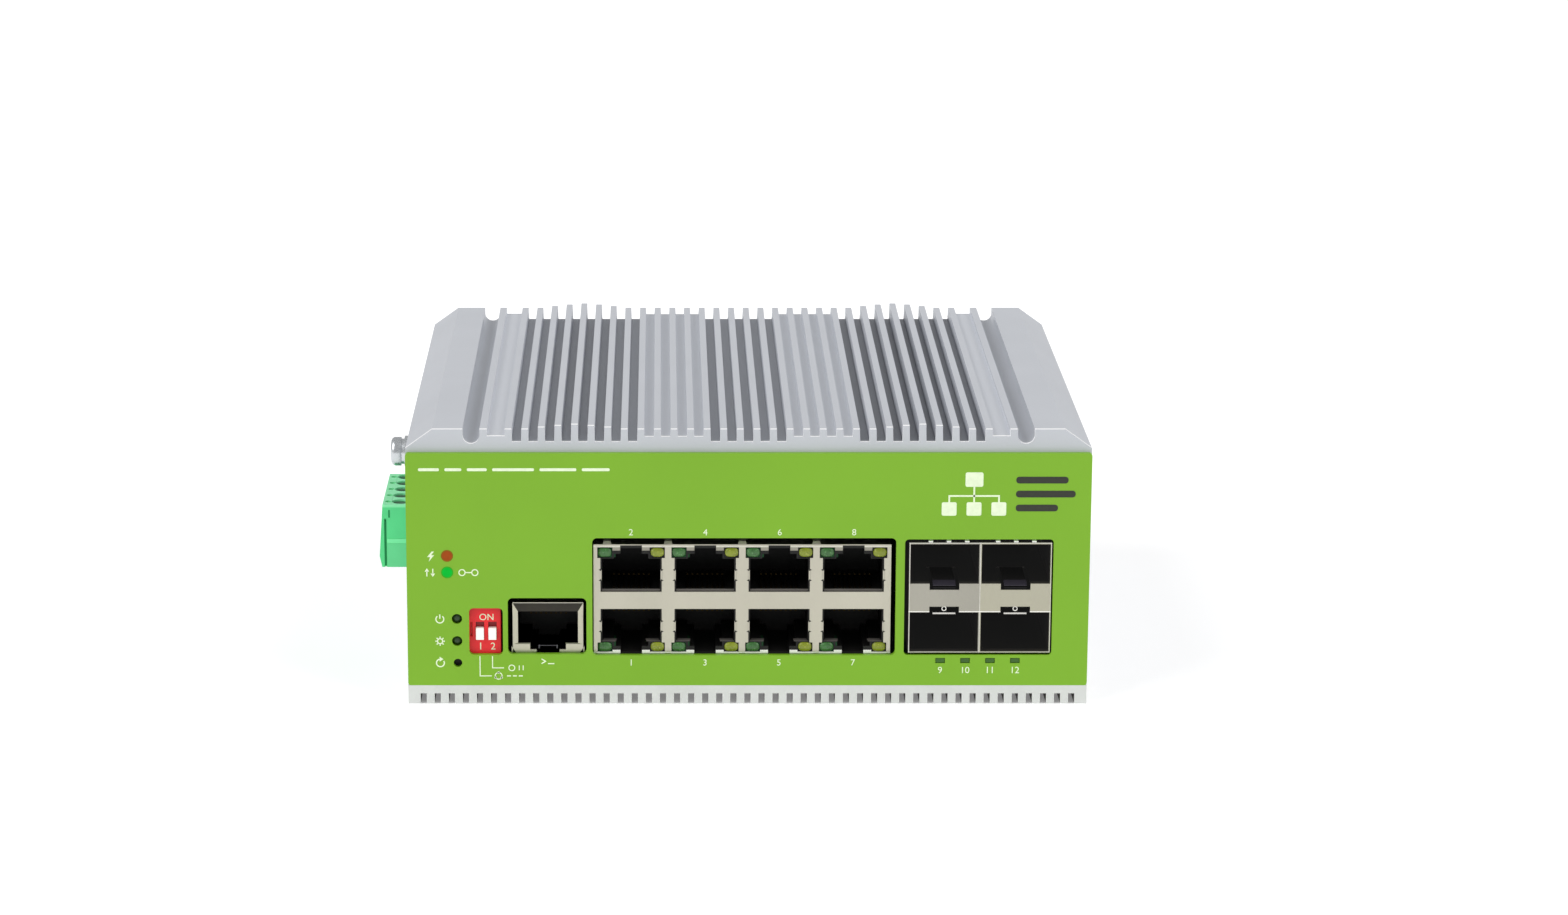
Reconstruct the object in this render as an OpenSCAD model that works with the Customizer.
// Industrial managed network switch for a DIN rail: a finned aluminium cover on a grooved
// base, a green front panel with eight network ports, a console port and four fibre module
// bays, a two-way DIP switch, a reset button and a pluggable power terminal on the left side.
//
// Millimetres. The origin is the centre of the underside, +X is to the right, +Y runs from
// the front panel to the rear and +Z is up. Inside the modules the depth is counted from the
// front panel's face, and placed() moves the finished piece onto the origin.

/* [Casing] */
// Width of the casing
casing_w = 138; // [137:0.5:142]
// Depth of the casing, front panel face to rear panel face
casing_d = 119; // [117:0.5:140]
// Height of the flat top above the resting surface
casing_h = 57.2; // [56.5:0.1:60]
// Thickness of the side walls
wall = 2.4; // [2:0.1:2.6]
// Height of the grooved base
base_h = 3.9; // [3.6:0.1:4]
// Height of the front panel
panel_h = 48.6; // [48:0.1:49]
// Thickness of the front panel
panel_t = 1.2; // [1:0.1:1.2]
// Thickness of the rear panel
rear_t = 1.5; // [1.2:0.1:2]

/* [Cooling fins] */
// Number of fins across the top
fin_count = 30; // [30:1:30]
// Distance from fin to fin
fin_pitch = 3.33; // [3.2:0.01:3.4]
// Width of a fin
fin_w = 1.35; // [1.2:0.05:1.5]
// Depth of the deep gaps between fins
deep_gap = 2.6; // [2:0.1:2.8]
// Depth of the shallow gaps between fins
shallow_gap = 1.5; // [1:0.1:1.8]
// Extra height of the tallest fin in each outer group
crown_h = 1; // [0:0.1:1.2]
// Number of grooves along the underside
groove_count = 47; // [47:1:47]
// Distance from groove to groove
groove_pitch = 2.865; // [2.8:0.005:2.87]
// Width of a groove
groove_w = 1.25; // [1:0.05:1.3]
// Height of a groove
groove_h = 2.2; // [1:0.1:2.3]

/* [Network ports] */
// Distance from port to port
port_pitch = 15; // [14.8:0.1:15]
// Width of a port opening
port_w = 12.4; // [12:0.05:12.4]
// Height of a port opening with its latch recess
port_h = 9.3; // [9.2:0.05:9.35]
// Middle of the port block
ports_x = -1.15; // [-1.2:0.05:-1.1]
// Depth of the port block
ports_d = 25; // [22:0.5:28]

/* [Fibre module bays] */
// Width of one bay
bay_w = 13.9; // [13.8:0.05:13.9]
// Height of one bay
bay_h = 8.25; // [8.2:0.05:8.3]
// Middle of the cage
cage_x = 46.95; // [46.9:0.05:47]
// Depth of the cage
cage_d = 48.5; // [46:0.5:50]

/* [Switches and lamps] */
// Travel of a DIP slider
dip_travel = 1; // [0.8:0.1:1]
// Travel of the reset button
reset_travel = 0.25; // [0.1:0.05:0.3]
// Diameter of the status lamps
lamp_d = 2; // [1.8:0.05:2]
// Diameter of the reset pinhole
pinhole_d = 1.75; // [1.5:0.05:1.9]

/* [Power terminal] */
// Number of wire positions
ways = 5; // [5:1:5]
// Distance from wire to wire
way_pitch = 5.08; // [5:0.01:5.08]
// Front end of the plug, behind the panel's face
plug_y = 12; // [12:0.1:13]

/* [DIN rail clip] */
// Height of the rail that the clip holds
rail_h = 35; // [35:0.1:35.2]
// Travel of the sprung latch
latch_travel = 3; // [2:0.1:3]

/* [Hidden] */
$fn = 32;
hw = casing_w / 2;
panel_top = base_h + panel_h;
chamfer_z = panel_top + 0.8;
chamfer_w = 5.4;
ceiling_z = casing_h - 6;
body_y0 = panel_t;
body_y1 = casing_d - rear_t;
bead_w = 6.2;
bead_low = 9.6;
bead_high = ceiling_z - 6.7;
end_screw_z = [base_h + 7.1, ceiling_z - 3.4];
end_screw_x = hw - 3;
side_screw_y = 6.5;
tab_t = 1.2;
tab_h = 8;
side_screw_z = [20, 40];
base_screw_y = [14, 60, 106];
m3 = 1.5;
m3_tap = 1.25;
bracket_x = 50;
bracket_z = [18, 38];
ground_y = 14;
ground_z = 49.5;

fin_gaps = fin_count - 1;
outer_group = 8;
shallow_group = 4;
edge_channel = [54.05, 57.48];
edge_recess = [49, 52.55];

board_z = base_h + 1.4;
board_t = 1.6;
board_top = board_z + board_t;
board_w = 124;
board_y = [2, 112];
board_screw_at = [[-57, 62], [57, 62], [0, 62], [-57, 104], [57, 104], [0, 104]];

sheet = 0.25;
ports_n = 4;
ports_front = panel_t + 0.15;
ports_w = 60.3;
ports_top = 33.25;
port_low_z = 10.35;
port_high_z = 23.3;
port_plug = [11.8, 6.9];
port_step_w = 7;
port_recess_w = 4.3;
port_hole_d = 16;
led_w = 3;
led_h = 2.2;
led_off = 5.33;
wire_pitch = 1.016;

console_x = -40.55;
console_w = 14.8;
console_top = 21.3;
console_z = [10.15, 11.25, 12.45, 19.1];
console_front = panel_t + 0.15;
console_d = 17;

cage_z = [10.75, 33.9];
cage_front = 0.3;
bay_low_z = 11;
bay_high_z = 25.3;
bay_x = cage_x - bay_w / 2 - 0.25;
bay_step = bay_w + 0.5;
leaf_w = 4.6;
notch_w = 6;
pipe_x = 39.1;
pipe_pitch = 5.06;
pipe_z = 9.14;
pipe_window = [1.95, 1.1];

dip_x = -53.08;
dip_pitch = 2.54;
dip_top = 21;
dip_knob = [1.6, 2.5];
dip_window_z = [13.3, 13.45 + dip_knob[1] + dip_travel];
dip_front = panel_t + 0.1;
dip_body_x = [-57, -50.1];
dip_body_y = 7;
dip_mark = [[-56.35, -55.9], [13.9, 16.9]];
lamp_x = -58.95;
lamp_z = [13.25, 17.93];
reset_x = -58.83;
reset_z = 8.65;
button_r = 1.08;
button_y = [1.5, 3.3];

// Openings of the front panel: extent in X, extent in Z, corner radius
cutouts = [
    [[ports_x - ports_w / 2 - 0.2, ports_x + ports_w / 2 + 0.9], [10.25, 34.9], 1],
    [[cage_x - 15.3, cage_x + 14.7], [10.3, 34.65], 0.8],
    [[console_x - 8.1, console_x + 7.85], [10.48, 22.33], 1],
    [[-56.5, -49.65], [10.35, 20.2], 0.9]];

plug_l = ways * way_pitch;
plug_z = [25.5, 38.75];
plug_x = -74.5;
plug_in = -65.5;
nose_in = -58.6;
nose_z = [27.9, 35.9];
screw_x = -70.9;
clamp_travel = 2;
clamp_z = [27.5, 34.4];
clamp_half = [1.9, 1.8];
entry_z = [28.6, 32];
blade_z = [29.6, 33.3];
pin_z = 31.4;
pin_hole_r = 0.8;
screw_bore_r = 1.75;
probe_r = 0.7;
cutout_gap = 0.35;
power_board_x = [-56.5, -54.9];
power_board_z = [9.6, 48.5];
power_board_y = [8, 72];

clip_w = 40;
clip_t = 4;
clip_y = casing_d;
rail_plane = clip_y + clip_t;
hook_top = 28.6 + rail_h / 2;
hook_low = hook_top - rail_h - 0.2;
rail_slot = 1.4;
hook_over = 2.4;
hook_t = 1.6;
hook_w = 10;
hook_x = 13;
plate_z = [5, 52];
latch_half = 7.9;
latch_low = 0.6 + latch_travel;
latch_pad = 7.5;
spring_z = [17, 27];
spring_r = 1.25;
spring_wire = 0.5;
spring_turns = 6;
clip_screw_x = 15;
clip_screw_z = [10, 38];

alu = [0.70, 0.71, 0.74];
pale_alu = [0.87, 0.87, 0.86];
green = [0.52, 0.72, 0.25];
nickel = [0.77, 0.75, 0.69];
steel = [0.78, 0.80, 0.82];
black = [0.05, 0.05, 0.05];
gold = [0.85, 0.66, 0.25];
mint = [0.33, 0.80, 0.53];
board_green = [0.05, 0.30, 0.16];

// ---- Helpers ----

module placed() translate([0, -casing_d / 2, 0]) children();

module block(x, y, z) translate([x[0], y[0], z[0]]) cube([x[1] - x[0], y[1] - y[0], z[1] - z[0]]);

// A flat X-Z outline made solid between two depths
module along_y(y) translate([0, y[1], 0]) rotate([90, 0, 0]) linear_extrude(y[1] - y[0]) children();

// A flat Y-Z outline made solid between two widths
module along_x(x) translate([x[0], 0, 0]) rotate([90, 0, 90]) linear_extrude(x[1] - x[0]) children();

module rod_x(x, y, z, r) translate([x[0], y, z]) rotate([0, 90, 0]) cylinder(h = x[1] - x[0], r = r);

module rod_y(x, y, z, r) translate([x, y[0], z]) rotate([-90, 0, 0]) cylinder(h = y[1] - y[0], r = r);

module rod_z(x, y, z, r) translate([x, y, z[0]]) cylinder(h = z[1] - z[0], r = r);

module frame_2d(x, z) translate([x[0], z[0]]) square([x[1] - x[0], z[1] - z[0]]);

// A flat rectangle with true round corners
module rounded_2d(x, z, r) {
    frame_2d([x[0] + r, x[1] - r], z);
    frame_2d(x, [z[0] + r, z[1] - r]);
    for (cx = [x[0] + r, x[1] - r], cz = [z[0] + r, z[1] - r]) translate([cx, cz]) circle(r = r);
}

// Countersunk screw standing on its tip, head up
module sunk_screw(len) {
    cylinder(h = len - 1, r = m3 - 0.05);
    difference() {
        translate([0, 0, len - 1.6]) cylinder(h = 1.6, r1 = m3 - 0.05, r2 = 2.8);
        cross_recess(len);
    }
}

// Room for a countersunk screw
module sunk_hole(len) {
    translate([0, 0, -1]) cylinder(h = len + 1, r = m3 + 0.05);
    translate([0, 0, len - 1.65]) cylinder(h = 1.65, r1 = m3 + 0.05, r2 = 2.9);
    translate([0, 0, len - 0.01]) cylinder(h = 2, r = 2.9);
}

// Pan-head screw standing on its tip, head up
module pan_screw(len, r, head_r, head_h) {
    cylinder(h = len, r = r);
    translate([0, 0, len]) difference() {
        rotate_extrude() difference() {
            square([head_r, head_h]);
            translate([head_r - head_h * 0.45, head_h * 0.55]) difference() {
                square(head_h);
                circle(r = head_h * 0.45);
            }
        }
        cross_recess(head_h);
    }
}

module cross_recess(z) {
    for (a = [0, 90]) rotate([0, 0, a]) translate([-1.5, -0.25, z - 0.9]) cube([3, 0.5, 1]);
}

function fin_x(i) = (i - fin_gaps / 2) * fin_pitch;
function from_edge(i, last) = min(i, last - i);
function gap_depth(i) =
    let (k = from_edge(i, fin_gaps - 1))
    k >= outer_group && k < outer_group + shallow_group ? shallow_gap : deep_gap;
function crown(i) = crown_h * max(0, 1 - 0.25 * pow(abs(from_edge(i, fin_count - 1) - 4), 1.26));
function port_x(i) = ports_x + (i - (ports_n - 1) / 2) * port_pitch;
function way_y(i) = plug_y + (i + 0.5) * way_pitch;

// ---- Casing ----

module fins_2d() {
    for (i = [0:fin_gaps - 1]) {
        x0 = fin_x(i) + fin_w / 2;
        x1 = fin_x(i + 1) - fin_w / 2;
        depth = gap_depth(i);
        polygon([[x0, casing_h + 2], [x0, casing_h], [x0 + 0.08, casing_h - depth],
            [x1 - 0.08, casing_h - depth], [x1, casing_h], [x1, casing_h + 2]]);
    }
}

module cover_2d() {
    difference() {
        union() {
            polygon([[-hw, base_h], [hw, base_h], [hw, chamfer_z], [hw - chamfer_w, casing_h],
                [-hw + chamfer_w, casing_h], [-hw, chamfer_z]]);
            for (i = [0:fin_count - 1])
                if (crown(i) > 0)
                    translate([fin_x(i) - fin_w / 2, casing_h - 0.5]) square([fin_w, 0.5 + crown(i)]);
        }
        frame_2d([-hw + wall, hw - wall], [bead_low + base_h, bead_high]);
        frame_2d([-hw + bead_w, hw - bead_w], [base_h - 1, ceiling_z]);
        fins_2d();
        for (s = [-1, 1]) {
            mid = s * (edge_channel[0] + edge_channel[1]) / 2;
            r = (edge_channel[1] - edge_channel[0]) / 2;
            translate([mid, casing_h - 1.25]) circle(r = r);
            frame_2d([mid - r, mid + r], [casing_h - 1.25, casing_h + 1]);
            near = s * edge_recess[0];
            far = s * edge_recess[1];
            frame_2d([min(near, far), max(near, far)], [casing_h - 1.4, casing_h + 1]);
        }
    }
}

module heatsink_cover() color(alu) difference() {
    along_y([body_y0, body_y1]) cover_2d();
    block([-hw - 1, -hw + bead_w + 1], [plug_y - cutout_gap, plug_y + plug_l + cutout_gap],
        [plug_z[0] - cutout_gap, plug_z[1] + cutout_gap]);
    rod_x([-hw - 1, -hw + 5.5], ground_y, ground_z, m3);
    for (s = [-1, 1], z = side_screw_z)
        translate([s * (hw - wall - 1), side_screw_y, z]) rotate([0, s * 90, 0]) sunk_hole(wall + 1);
    for (s = [-1, 1], z = end_screw_z)
        rod_y(s * end_screw_x, [body_y1 - 9, body_y1 + 1], z, m3);
    for (s = [-1, 1], y = base_screw_y) rod_z(s * end_screw_x, y, [base_h - 1, base_h + 5], m3);
}

module base_extrusion() color(pale_alu) difference() {
    block([-hw, hw], [0, casing_d], [0, base_h]);
    for (i = [0:groove_count - 1]) {
        x = (i - (groove_count - 1) / 2) * groove_pitch;
        block([x - groove_w / 2, x + groove_w / 2], [-1, casing_d + 1], [-1, groove_h]);
    }
    for (s = [-1, 1], y = base_screw_y)
        translate([s * end_screw_x, y, base_h]) rotate([180, 0, 0]) sunk_hole(base_h - 0.2);
    for (p = board_screw_at) rod_z(p[0], p[1], [groove_h + 0.2, base_h + 1], m3_tap);
}

module front_tabs(y) {
    for (s = [-1, 1], z = side_screw_z) difference() {
        block([s > 0 ? hw - wall - 0.1 - tab_t : -hw + wall + 0.1,
            s > 0 ? hw - wall - 0.1 : -hw + wall + 0.1 + tab_t], y, [z - tab_h / 2, z + tab_h / 2]);
        rod_x([s > 0 ? 50 : -hw, s > 0 ? hw : -50], side_screw_y, z, m3);
    }
}

module front_panel() color(green) {
    difference() {
        along_y([0, panel_t]) rounded_2d([-hw, hw], [base_h, panel_top], 0.6);
        along_y([-1, panel_t + 1]) {
            for (c = cutouts) rounded_2d(c[0], c[1], c[2]);
            for (i = [0:3]) translate([pipe_x + i * pipe_pitch, pipe_z]) square(pipe_window, center = true);
        }
        for (z = lamp_z) rod_y(lamp_x, [-1, panel_t + 1], z, lamp_d / 2 + 0.05);
        rod_y(reset_x, [-1, panel_t + 1], reset_z, pinhole_d / 2);
    }
    front_tabs([panel_t, 11]);
}

module rear_panel() color(alu) difference() {
    along_y([casing_d - rear_t, casing_d]) rounded_2d([-hw, hw], [base_h, panel_top], 0.6);
    for (s = [-1, 1], z = end_screw_z)
        rod_y(s * end_screw_x, [body_y1 - 1, casing_d + 1], z, m3 + 0.1);
    for (s = [-1, 1], z = clip_screw_z) rod_y(s * clip_screw_x, [body_y1 - 1, casing_d + 1], z, m3);
    for (s = [-1, 1], z = bracket_z) rod_y(s * bracket_x, [body_y1 - 1, casing_d + 1], z, m3_tap);
}

module side_screws() color(steel)
    for (s = [-1, 1], z = side_screw_z)
        translate([s * (hw - 6), side_screw_y, z]) rotate([0, s * 90, 0]) sunk_screw(5.95);

module rear_screws() color(steel)
    for (s = [-1, 1], z = end_screw_z)
        translate([s * end_screw_x, casing_d - 9, z]) rotate([-90, 0, 0])
            pan_screw(9, m3 - 0.05, 2.8, 1.9);

module base_screws() color(steel)
    for (s = [-1, 1], y = base_screw_y)
        translate([s * end_screw_x, y, base_h + 4.5]) rotate([180, 0, 0]) sunk_screw(base_h + 4.2);

// ---- Main board ----

module main_board() color(board_green) difference() {
    block([-board_w / 2, board_w / 2], board_y, [board_z, board_top]);
    for (p = board_screw_at) rod_z(p[0], p[1], [board_z - 1, board_top + 1], m3_tap + 0.1);
}

module board_standoffs() color(steel)
    for (p = board_screw_at) difference() {
        rod_z(p[0], p[1], [base_h, board_z], 2.8);
        rod_z(p[0], p[1], [base_h - 1, board_z + 1], m3_tap + 0.1);
    }

module board_screws() color(steel)
    for (p = board_screw_at) translate([p[0], p[1], groove_h + 0.4])
        pan_screw(board_top - groove_h - 0.4, m3_tap - 0.05, 2.3, 1.6);

module chip(x, y, size, h)
    block([x - size / 2, x + size / 2], [y - size / 2, y + size / 2], [board_top, board_top + h]);

module switch_chip() color(black) chip(4, 84, 19, 1.5);

module logic_chips() color(black) {
    chip(-22, 74, 12, 1.2);
    chip(-22, 92, 12, 1.2);
    chip(30, 74, 12, 1.2);
    chip(30, 92, 10, 1.2);
    chip(46, 84, 8, 1.2);
}

module network_magnetics() color(black)
    for (i = [0:3], y = [32, 47])
        block([port_x(i) - 6.3, port_x(i) + 6.3], [y, y + 9.5], [board_top, board_top + 5.6]);

module thermal_pads() color([0.75, 0.6, 0.65]) {
    block([-6, 14], [74, 94], [base_h, board_z]);
    for (x = [-22, 30]) block([x - 6, x + 6], [68, 98], [base_h, board_z]);
}

module board_capacitors() color([0.25, 0.27, 0.32])
    for (x = [-44, -36], y = [70, 82]) rod_z(x, y, [board_top, board_top + 12], 3.4);

// ---- Network ports ----

module port_corners(i, up) {
    z0 = up ? port_high_z : port_low_z;
    for (s = [-1, 1]) {
        x = port_x(i) + s * led_off;
        z = up ? z0 + port_h - led_h : z0;
        frame_2d([x - led_w / 2, x + led_w / 2], [z, z + led_h]);
    }
}

// Opening for one plug with its latch, which points up in the upper row and down in the lower
module port_2d(x, z0, up, h) {
    low = up ? z0 : z0 + h - port_plug[1];
    frame_2d([x - port_plug[0] / 2, x + port_plug[0] / 2], [low, low + port_plug[1]]);
    step = up ? [low, low + port_plug[1] + 1] : [low - 1, low + 1];
    frame_2d([x - port_step_w / 2, x + port_step_w / 2], step);
    frame_2d([x - port_recess_w / 2, x + port_recess_w / 2], [z0 + 0.2, z0 + h - 0.2]);
}

module port_shield() color(nickel) difference() {
    block([ports_x - ports_w / 2, ports_x + ports_w / 2], [ports_front, ports_front + ports_d],
        [board_top, ports_top]);
    block([ports_x - ports_w / 2 + sheet, ports_x + ports_w / 2 - sheet],
        [ports_front + sheet, ports_front + ports_d - sheet], [board_top - 1, ports_top - sheet]);
    for (i = [0:ports_n - 1], z = [port_low_z, port_high_z])
        block([port_x(i) - port_w / 2, port_x(i) + port_w / 2], [0, ports_front + 1], [z, z + port_h]);
    along_y([0, ports_front + 1]) for (i = [0:ports_n - 1], up = [false, true]) port_corners(i, up);
}

module port_housing() color(black) difference() {
    block([ports_x - ports_w / 2 + sheet, ports_x + ports_w / 2 - sheet],
        [ports_front + sheet, ports_front + ports_d - sheet], [board_top, ports_top - sheet]);
    along_y([0, ports_front + port_hole_d])
        for (i = [0:ports_n - 1], up = [false, true])
            port_2d(port_x(i), up ? port_high_z : port_low_z, up, port_h);
    along_y([0, ports_front + 6]) for (i = [0:ports_n - 1], up = [false, true]) port_corners(i, up);
}

// One row of eight spring wires, rising from the back of the cavity's plain side
module wires(x, z, up, y) {
    s = up ? 1 : -1;
    for (k = [0:7])
        along_x([x + (k - 3.5) * wire_pitch - 0.175, x + (k - 3.5) * wire_pitch + 0.175])
            polygon([[y + 3, z + s * 0.02], [y + 3, z + s * 0.3], [y + 12, z + s * 0.9],
                [y + 6, z + s * 1.9], [y + 6, z + s * 2.15], [y + 12.5, z + s * 1.1],
                [y + 12.5, z + s * 0.02]]);
}

module port_contacts() color(gold)
    for (i = [0:ports_n - 1]) {
        wires(port_x(i), port_high_z, true, ports_front);
        wires(port_x(i), port_low_z + port_h, false, ports_front);
    }

// Lens with a gently domed front, one in each outer corner of a port
module lens(x, z) {
    y0 = ports_front + sheet;
    block([x - led_w / 2 + 0.05, x + led_w / 2 - 0.05], [y0, y0 + 5], [z + 0.05, z + led_h - 0.05]);
    intersection() {
        translate([x, y0 + 3.1, z + led_h / 2]) sphere(r = 3.4, $fn = 32);
        block([x - led_w / 2 + 0.2, x + led_w / 2 - 0.2], [y0 - 0.4, y0 + 0.1], [z + 0.2, z + led_h - 0.2]);
    }
}

module port_leds(side)
    for (i = [0:ports_n - 1]) {
        lens(port_x(i) + side * led_off, port_low_z);
        lens(port_x(i) + side * led_off, port_high_z + port_h - led_h);
    }

module port_leds_green() color([0.34, 0.52, 0.25]) port_leds(-1);

module port_leds_yellow() color([0.62, 0.65, 0.2]) port_leds(1);

// ---- Console port ----

module console_2d(grow) {
    frame_2d([console_x - 6.1 - grow, console_x + 6.1 + grow], [console_z[2] - grow, console_z[3] + grow]);
    frame_2d([console_x - 3.55 - grow, console_x + 3.55 + grow], [console_z[1] - grow, console_z[3]]);
    frame_2d([console_x - 2.25 - grow, console_x + 2.25 + grow], [console_z[0] - grow / 2, console_z[3]]);
}

module console_shield() color(nickel) difference() {
    block([console_x - console_w / 2, console_x + console_w / 2],
        [console_front, console_front + console_d], [board_top, console_top]);
    block([console_x - console_w / 2 + sheet, console_x + console_w / 2 - sheet],
        [console_front + sheet, console_front + console_d - sheet], [board_top - 1, console_top - sheet]);
    along_y([0, console_front + 1]) console_2d(0);
}

module console_housing() color(black) difference() {
    block([console_x - console_w / 2 + sheet, console_x + console_w / 2 - sheet],
        [console_front + sheet, console_front + console_d - sheet], [board_top, console_top - sheet]);
    along_y([0, console_front + 14]) console_2d(0);
}

module console_contacts() color(gold) wires(console_x, console_z[3], false, console_front);

// ---- Fibre module cage ----

module bays(y) {
    for (i = [0, 1], z = [bay_low_z, bay_high_z])
        block([bay_x - bay_w / 2 + i * bay_step, bay_x + bay_w / 2 + i * bay_step], y, [z, z + bay_h]);
}

module leaf_slots(y) {
    for (i = [0, 1]) {
        x = bay_x + i * bay_step;
        block([x - notch_w / 2, x + notch_w / 2], y, [bay_high_z - 1.3, bay_high_z + 0.1]);
        block([x - notch_w / 2, x + notch_w / 2], y, [bay_low_z + bay_h - 0.1, bay_low_z + bay_h + 1.2]);
    }
}

module fibre_cage() color(nickel) {
    y = [cage_front, cage_front + cage_d];
    half = bay_step;
    difference() {
        block([cage_x - half, cage_x + half], y, cage_z);
        bays([0, y[1] - sheet]);
        leaf_slots([0, 13]);
        block([cage_x - half + sheet, cage_x + half - sheet], [y[0] + sheet, y[1] - sheet],
            [bay_low_z + bay_h + sheet, bay_high_z - sheet]);
    }
    for (x = [cage_x - half + 1, cage_x, cage_x + half - 1], py = [4, 16, 28, 40])
        block([x - 0.4, x + 0.4], [py, py + 0.6], [board_top, cage_z[0]]);
}

module fibre_connectors() color(black)
    for (i = [0, 1], z = [bay_low_z, bay_high_z]) {
        x = bay_x + i * bay_step;
        y1 = cage_front + cage_d - sheet;
        difference() {
            block([x - 5.8, x + 5.8], [y1 - 9, y1], [z, z + 5.6]);
            block([x - 4.8, x + 4.8], [y1 - 10, y1 - 3], [z + 2.2, z + 3.6]);
        }
    }

// Spring leaf in the notch of each bay, bent a little towards the middle band
module fibre_latches() color([0.45, 0.45, 0.44])
    for (i = [0, 1], up = [false, true]) {
        x = bay_x + i * bay_step;
        z = up ? bay_high_z - 0.3 : bay_low_z + bay_h + 0.05;
        s = up ? -1 : 1;
        z0 = up ? z + 0.25 : z;
        difference() {
            along_x([x - leaf_w / 2, x + leaf_w / 2])
                polygon([[0.7, z0 + s * 0.85], [6, z0], [13, z0], [13, z0 + s * 0.22],
                    [6, z0 + s * 0.22], [0.7, z0 + s * 1.07]]);
            rod_z(x, 3, [z0 - 2, z0 + 2], 0.7);
        }
    }

module fibre_light_pipes() color([0.2, 0.36, 0.16])
    for (i = [0:3]) {
        x = pipe_x + i * pipe_pitch;
        block([x - 0.93, x + 0.93], [0.15, 5], [pipe_z - 0.5, pipe_z + 0.5]);
        block([x - 0.93, x + 0.93], [3.4, 5], [board_top, pipe_z - 0.5]);
    }

// ---- DIP switch, lamps and reset button ----

module dip_body() color([0.84, 0.16, 0.17]) difference() {
    block(dip_body_x, [dip_front, dip_body_y], [board_top, dip_top]);
    for (s = [-1, 1]) {
        x = dip_x + s * dip_pitch / 2;
        block([x - 0.85, x + 0.85], [0, 4], dip_window_z);
        block([x - 1.05, x + 1.05], [dip_front + 0.6, 4], [11.5, 18.8]);
    }
    block(dip_mark[0], [0, dip_front + 0.8], dip_mark[1]);
}

module dip_slider(s) color([0.96, 0.95, 0.93]) {
    x = dip_x + s * dip_pitch / 2;
    block([x - dip_knob[0] / 2, x + dip_knob[0] / 2], [0.55, dip_front + 0.75],
        [dip_window_z[0] + 0.05, dip_window_z[0] + 0.05 + dip_knob[1]]);
    block([x - 0.95, x + 0.95], [dip_front + 0.7, dip_front + 2], [11.7, 17.2]);
}

module dip_slider_1() dip_slider(-1);

module dip_slider_2() dip_slider(1);

module status_lamps() color([0.18, 0.32, 0.14])
    for (z = lamp_z) {
        rod_y(lamp_x, [0.9, 3], z, lamp_d / 2 - 0.05);
        translate([lamp_x, 0.9, z]) rotate([90, 0, 0]) intersection() {
            translate([0, 0, -0.6]) sphere(r = 1.13, $fn = 32);
            cylinder(h = 2, r = lamp_d / 2 - 0.05);
        }
        rod_y(lamp_x, [3, 5], z, 1.3);
    }

module lamp_holder() color(black) difference() {
    union() {
        block([lamp_x - 1.9, lamp_x + 1.9], [3, 9], [11, 20]);
        block([lamp_x - 1.9, lamp_x + 1.9], [6.8, 9], [board_top, 11]);
    }
    for (z = lamp_z) rod_y(lamp_x, [2, 5], z, 1.3);
}

module reset_body() color([0.12, 0.12, 0.13]) difference() {
    block([reset_x - 3, reset_x + 1.6], [2.6, 6.2], [board_top, 10.6]);
    rod_y(reset_x, [2, button_y[1] + reset_travel + 0.05], reset_z, button_r + 0.07);
}

module reset_button() color(black) rod_y(reset_x, button_y, reset_z, button_r);

// ---- Power terminal ----

module terminal_header() color([0.25, 0.68, 0.42]) {
    difference() {
        block([plug_in + 0.2, power_board_x[0]], [plug_y - 0.25, plug_y + plug_l + 0.25],
            [nose_z[0] - 1.2, nose_z[1] + 1.2]);
        block([plug_in - 1, nose_in + 0.3], [plug_y + 0.65, plug_y + plug_l - 0.65],
            [nose_z[0] - 0.15, nose_z[1] + 0.15]);
        for (i = [0:ways - 1])
            rod_x([-60, -50], way_y(i), pin_z, pin_hole_r);
    }
}

module terminal_pins() color(gold)
    for (i = [0:ways - 1])
        block([-64.6, power_board_x[1] + 1.4], [way_y(i) - 0.5, way_y(i) + 0.5], [pin_z - 0.5, pin_z + 0.5]);

module plug_side_2d() {
    polygon([[plug_in, plug_z[0]], [plug_in, plug_z[1]], [plug_x, plug_z[1]],
        [plug_x - 0.7, plug_z[0] + 2.3], [plug_x - 0.2, plug_z[0]]]);
}

module terminal_plug() color(mint) difference() {
    union() {
        translate([0, plug_y + plug_l, 0]) rotate([90, 0, 0]) linear_extrude(plug_l) plug_side_2d();
        block([plug_in - 1, nose_in], [plug_y + 0.75, plug_y + plug_l - 0.75], nose_z);
    }
    for (i = [0:ways - 1]) {
        y = way_y(i);
        block([plug_x - 2, screw_x], [y - 1.5, y + 1.5], entry_z);
        block([screw_x - clamp_half[0] - 0.2, screw_x + clamp_half[0] + 0.2],
            [y - clamp_half[1] - 0.15, y + clamp_half[1] + 0.15],
            [clamp_z[0] - 0.2, clamp_z[1] + clamp_travel + 0.05]);
        rod_z(screw_x, y, [36, 37.1], 1.35);
        rod_z(screw_x, y, [36.95, plug_z[1] + 1], screw_bore_r);
        block([screw_x, nose_in + 1], [y - 0.95, y + 0.95], blade_z);
        rod_z(plug_x + 1.1, y, [plug_z[1] - 1.2, plug_z[1] + 1], probe_r);
    }
    for (y = [plug_y, plug_y + plug_l])
        block([plug_x + 0.35, plug_x + 0.75], [y - 0.4, y + 0.4], [plug_z[0] - 1, plug_z[1] - 3]);
}

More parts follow.
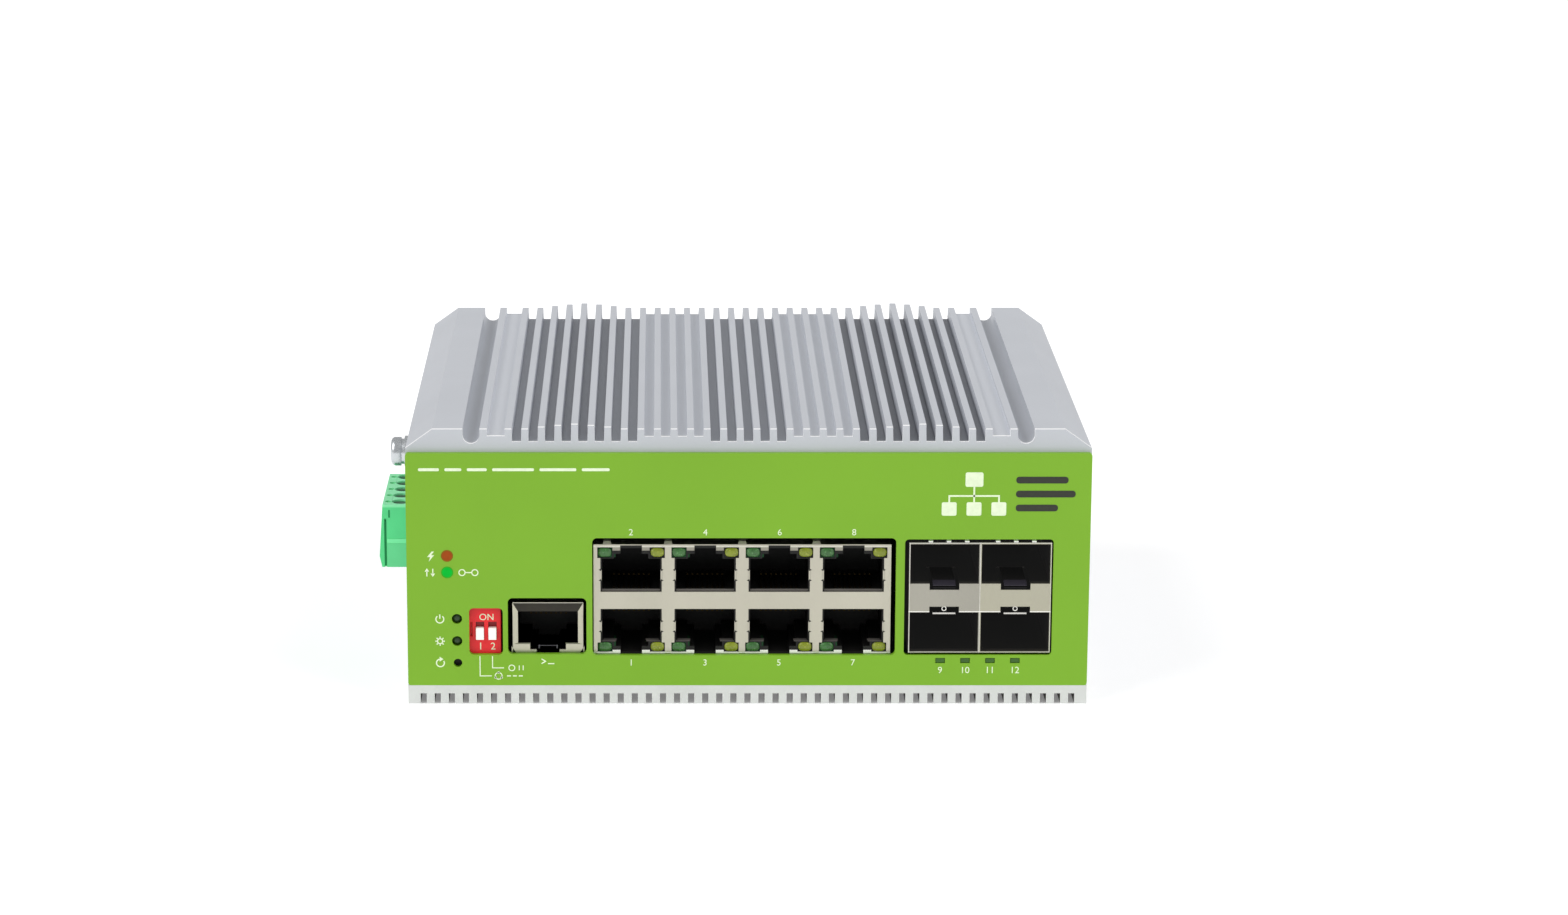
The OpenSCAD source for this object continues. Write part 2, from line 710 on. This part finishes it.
module terminal_contacts() color(steel)
    for (i = [0:ways - 1])
        translate([0, way_y(i) + 0.8, 0]) rotate([90, 0, 0]) linear_extrude(1.6)
            polygon([[screw_x - 1.9, 32.2], [-65.8, 32.2], [-65.8, 29.7], [-59.4, 29.7], [-59.4, 30.4],
                [-65.1, 30.4], [-65.1, 32.3], [-59.4, 32.3], [-59.4, 33], [screw_x - 1.9, 33]]);

module terminal_screw(i) color(steel) translate([screw_x, way_y(i), 33.15]) {
    cylinder(h = 4, r = 1.25);
    difference() {
        translate([0, 0, 3.95]) cylinder(h = 1.3, r = 1.65);
        translate([-2, -0.25, 4.65]) cube([4, 0.5, 1]);
    }
}

module terminal_screw_1() terminal_screw(0);

module terminal_screw_2() terminal_screw(1);

module terminal_screw_3() terminal_screw(2);

module terminal_screw_4() terminal_screw(3);

module terminal_screw_5() terminal_screw(4);

// Cage that a turning screw lifts to grip the wire
module wire_clamp(i) color([0.72, 0.72, 0.7]) {
    y = way_y(i);
    difference() {
        block([screw_x - clamp_half[0], screw_x + clamp_half[0]],
            [y - clamp_half[1], y + clamp_half[1]], clamp_z);
        block([screw_x - 3, screw_x + 3], [y - 1.25, y + 1.25], [28.4, 33.1]);
        rod_z(screw_x, y, [30, 35], 1.3);
    }
}

module wire_clamp_1() wire_clamp(0);

module wire_clamp_2() wire_clamp(1);

module wire_clamp_3() wire_clamp(2);

module wire_clamp_4() wire_clamp(3);

module wire_clamp_5() wire_clamp(4);

module power_board() color(board_green) difference() {
    block(power_board_x, power_board_y, power_board_z);
    for (i = [0:ways - 1])
        rod_x([power_board_x[0] - 1, power_board_x[1] + 1], way_y(i), pin_z, pin_hole_r);
}

// Converter transformer, choke and fuse on the power board
module power_parts() color([0.16, 0.16, 0.17]) {
    x = power_board_x[1];
    block([x, x + 13], [44, 64], [24, 44]);
    block([x, x + 8], [42, 54], [12.5, 22]);
    block([x, x + 4], [10, 20], [38, 44]);
}

module power_capacitors() color([0.18, 0.2, 0.28])
    for (y = [25, 35]) rod_x([power_board_x[1], power_board_x[1] + 14], y, 18, 4.2);

module board_link() color(black) difference() {
    block([power_board_x[0] - 1.8, power_board_x[1] + 1.8], [28, 57], [board_top, 11.9]);
    block(power_board_x, [27, 58], [power_board_z[0], 13]);
}

// ---- Grounding screw ----

module ground_screw() color(steel) translate([-hw + 5.2, ground_y, ground_z]) rotate([0, -90, 0])
    pan_screw(6.7, m3 - 0.05, 2.95, 2.1);

module ground_washers() color(steel) {
    difference() {
        rod_x([-hw - 0.8, -hw], ground_y, ground_z, 3.2);
        rod_x([-hw - 2, -hw + 1], ground_y, ground_z, 1.6);
    }
    difference() {
        rod_x([-hw - 1.5, -hw - 0.8], ground_y, ground_z, 2.6);
        rod_x([-hw - 2, -hw + 1], ground_y, ground_z, 1.6);
        block([-hw - 2, -hw - 0.75], [ground_y, ground_y + 4], [ground_z - 0.35, ground_z + 0.35]);
    }
}

// ---- DIN rail clip ----

// The latch runs in a stepped groove, so that it can't fall out to the rear
module clip_groove(gap, z) {
    block([-9.9 - gap, 9.9 + gap], [clip_y + 2 - gap, clip_y + 3 + gap / 2], z);
    block([-latch_half - gap, latch_half + gap], [clip_y + 2.5, clip_y + clip_t - 0.1 + gap * 2], z);
}

module clip_plate() color(steel) {
    difference() {
        block([-clip_w / 2, clip_w / 2], [clip_y, rail_plane], plate_z);
        clip_groove(0.1, [0, 31]);
        block([-2, 2], [clip_y + 0.6, rail_plane + 1], [spring_z[0], spring_z[1] + 0.5]);
        for (s = [-1, 1], z = clip_screw_z)
            translate([s * clip_screw_x, clip_y, z]) rotate([-90, 0, 0]) sunk_hole(clip_t - 0.1);
    }
    block([-1.9, 1.9], [clip_y + 1, rail_plane - 0.1], [spring_z[0] - 1.6, spring_z[0]]);
    for (s = [-1, 1]) {
        x = [s * hook_x - hook_w / 2, s * hook_x + hook_w / 2];
        block(x, [rail_plane - 0.5, rail_plane + rail_slot + hook_t], [hook_top, hook_top + 2.8]);
        block(x, [rail_plane + rail_slot, rail_plane + rail_slot + hook_t],
            [hook_top - hook_over, hook_top + 0.1]);
    }
}

module clip_screws() color(steel)
    for (s = [-1, 1], z = clip_screw_z)
        translate([s * clip_screw_x, clip_y - 3, z]) rotate([-90, 0, 0]) sunk_screw(clip_t + 2.85);

module clip_latch() color([0.62, 0.64, 0.66]) {
    difference() {
        clip_groove(0, [latch_low, 30.8]);
        block([-2.1, 2.1], [clip_y, rail_plane + 1], [spring_z[0] - 1.7, spring_z[1]]);
    }
    block([-latch_half, latch_half], [rail_plane - 0.2, rail_plane + rail_slot + hook_t],
        [latch_pad, hook_low]);
    block([-latch_half, latch_half], [rail_plane + rail_slot, rail_plane + rail_slot + hook_t],
        [hook_low - 0.1, hook_low + hook_over]);
    block([-6, 6], [rail_plane - 0.2, rail_plane + 2], [latch_low, latch_low + 2.4]);
}

// Coil spring: a round wire swept along a helix
module clip_spring() color(steel) {
    sides = 8;
    rings = spring_turns * 12;
    height = spring_z[1] - spring_z[0] - spring_wire;
    lean = atan(height / (2 * PI * spring_r * spring_turns));
    points = [for (k = [0:rings], j = [0:sides - 1])
        let (t = k / rings, a = 360 * spring_turns * t, b = 360 * j / sides,
            out = spring_r + spring_wire / 2 * cos(b), rise = spring_wire / 2 * sin(b))
        [out * cos(a) + rise * sin(lean) * sin(a), out * sin(a) - rise * sin(lean) * cos(a),
            height * t + rise * cos(lean)]];
    walls = [for (k = [0:rings - 1], j = [0:sides - 1], half = [0, 1])
        let (a = k * sides + j, b = k * sides + (j + 1) % sides, c = b + sides, d = a + sides)
        half == 0 ? [a, d, c] : [a, c, b]];
    ends = [for (j = [1:sides - 2], half = [0, 1])
        half == 0 ? [0, j, j + 1] : [rings * sides, rings * sides + j + 1, rings * sides + j]];
    translate([0, clip_y + 2.35, spring_z[0] + spring_wire / 2]) polyhedron(points, concat(walls, ends));
}

placed() heatsink_cover();
placed() base_extrusion();
placed() front_panel();
placed() rear_panel();
placed() side_screws();
placed() rear_screws();
placed() base_screws();
placed() main_board();
placed() board_standoffs();
placed() board_screws();
placed() switch_chip();
placed() logic_chips();
placed() network_magnetics();
placed() thermal_pads();
placed() board_capacitors();
placed() port_shield();
placed() port_housing();
placed() port_contacts();
placed() port_leds_green();
placed() port_leds_yellow();
placed() console_shield();
placed() console_housing();
placed() console_contacts();
placed() fibre_cage();
placed() fibre_connectors();
placed() fibre_latches();
placed() fibre_light_pipes();
placed() dip_body();
placed() dip_slider_1();
placed() dip_slider_2();
placed() status_lamps();
placed() lamp_holder();
placed() reset_body();
placed() reset_button();
placed() terminal_header();
placed() terminal_pins();
placed() terminal_plug();
placed() terminal_contacts();
placed() terminal_screw_1();
placed() terminal_screw_2();
placed() terminal_screw_3();
placed() terminal_screw_4();
placed() terminal_screw_5();
placed() wire_clamp_1();
placed() wire_clamp_2();
placed() wire_clamp_3();
placed() wire_clamp_4();
placed() wire_clamp_5();
placed() power_board();
placed() power_parts();
placed() power_capacitors();
placed() board_link();
placed() ground_screw();
placed() ground_washers();
placed() clip_plate();
placed() clip_screws();
placed() clip_latch();
placed() clip_spring();
